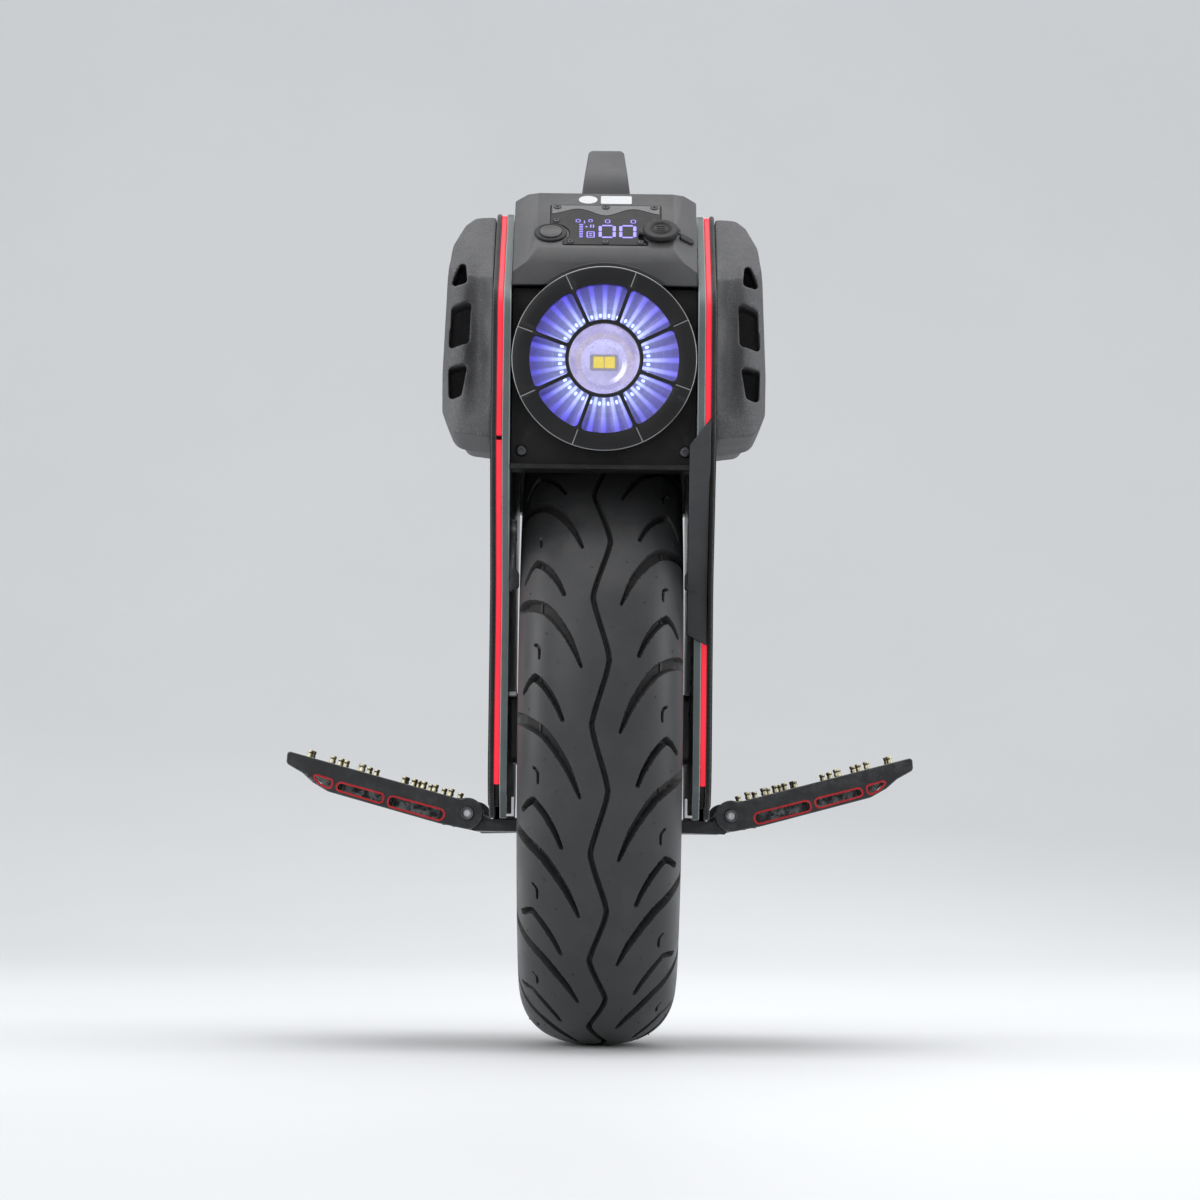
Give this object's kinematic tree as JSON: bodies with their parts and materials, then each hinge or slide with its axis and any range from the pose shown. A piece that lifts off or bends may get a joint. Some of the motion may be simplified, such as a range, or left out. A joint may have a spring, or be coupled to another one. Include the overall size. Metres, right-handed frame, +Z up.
{
  "type": "electric unicycle",
  "caption": "Electric unicycle with one wide tyre, folding studded pedals, side pads, round headlight, slanted control panel and a carry handle.",
  "frame": {"origin": "on the ground, under the centre of the wheel", "axes": "+Z up, -Y is the front with the headlight, +X is to the right when looking along +Y"},
  "size_m": [0.3988, 0.414, 0.5815],
  "materials": {
    "tyre_rubber": "satin",
    "dark_cast": "satin",
    "bare_steel": "satin",
    "brass": "satin",
    "copper": "satin",
    "cast_block": "matte",
    "plate_metal": "satin",
    "black_shell": "matte",
    "cover_shell": "matte",
    "dark_screws": "satin",
    "black_gloss": "gloss",
    "black_trim": "satin",
    "clear_lens": "gloss",
    "bright_reflector": "gloss",
    "led_light": "gloss",
    "red_lens": "gloss",
    "red_light": "gloss",
    "side_foam": "matte",
    "pad_rubber": "matte",
    "cable_rubber": "matte",
    "battery_wrap": "satin",
    "circuit_board": "satin",
    "pedal_metal": "satin",
    "stud_metal": "satin"
  },
  "bodies": {
    "frame": {"axle": "bare_steel", "stator_core": "bare_steel", "stator_windings": "copper", "axle_nuts": "bare_steel", "axle_blocks": "cast_block", "side_plate_left": "plate_metal", "side_plate_right": "plate_metal", "wheel_arch": "black_shell", "front_panel": "black_shell", "rear_panel": "black_shell", "top_cover": "cover_shell", "panel_screws": "dark_screws", "display_window": "black_gloss", "display_screws": "dark_screws", "display_module": "black_shell", "button_ring": "black_trim", "charge_socket": "black_trim", "headlight_housing": "black_shell", "headlight_bezel": "black_trim", "headlight_lens": "clear_lens", "headlight_reflector": "bright_reflector", "headlight_leds": "led_light", "tail_light_housing": "black_shell", "tail_light_lens": "red_lens", "light_strip_left": "red_light", "light_strip_right": "red_light", "side_cores": "black_trim", "side_cover_left": "side_foam", "side_cover_right": "side_foam", "pad_front_left": "pad_rubber", "pad_front_right": "pad_rubber", "pad_rear_left": "pad_rubber", "pad_rear_right": "pad_rubber", "cable_cover": "black_shell", "motor_cable": "cable_rubber", "battery_front": "battery_wrap", "battery_rear": "battery_wrap", "control_board": "circuit_board", "heat_sink": "cast_block", "carry_handle": "cover_shell", "handle_screws": "bare_steel", "pedal_hanger_left": "pedal_metal", "pedal_hanger_right": "pedal_metal", "pedal_pin_left": "bare_steel", "pedal_pin_right": "bare_steel", "cap_tether": "cable_rubber"},
    "wheel": {"tyre": "tyre_rubber", "rim_shell": "dark_cast", "motor_cover_left": "dark_cast", "motor_cover_right": "dark_cast", "magnet_ring": "bare_steel", "motor_cover_screws": "bare_steel", "valve_stem": "brass", "wheel_bearings": "bare_steel"},
    "pedal_left": {"pedal_left": "pedal_metal", "pedal_studs_left": "stud_metal"},
    "pedal_right": {"pedal_right": "pedal_metal", "pedal_studs_right": "stud_metal"},
    "power_button": {"power_button": "black_trim"},
    "charge_cap": {"charge_cap": "cable_rubber"}
  },
  "joints": [
    {"name": "wheel_spin", "type": "hinge", "parent": "frame", "child": "wheel", "pos_m": [0, 0, 0.207], "axis": [1, 0, 0], "continuous": true},
    {"name": "pedal_left_fold", "type": "hinge", "parent": "frame", "child": "pedal_left", "pos_m": [-0.084, 0, 0.15], "axis": [0, 1, 0], "range_deg": [0, 72]},
    {"name": "pedal_right_fold", "type": "hinge", "parent": "frame", "child": "pedal_right", "pos_m": [0.084, 0, 0.15], "axis": [0, -1, 0], "range_deg": [0, 72]},
    {"name": "button_press", "type": "slide", "parent": "frame", "child": "power_button", "axis": [0, 0.6428, -0.766], "range_m": [0, 0.0012], "stiffness_N_per_m": 400},
    {"name": "cap_open", "type": "hinge", "parent": "frame", "child": "charge_cap", "pos_m": [0.047, -0.16382, 0.51504], "axis": [0, 0.766, 0.6428], "range_deg": [0, 130]}
  ]
}
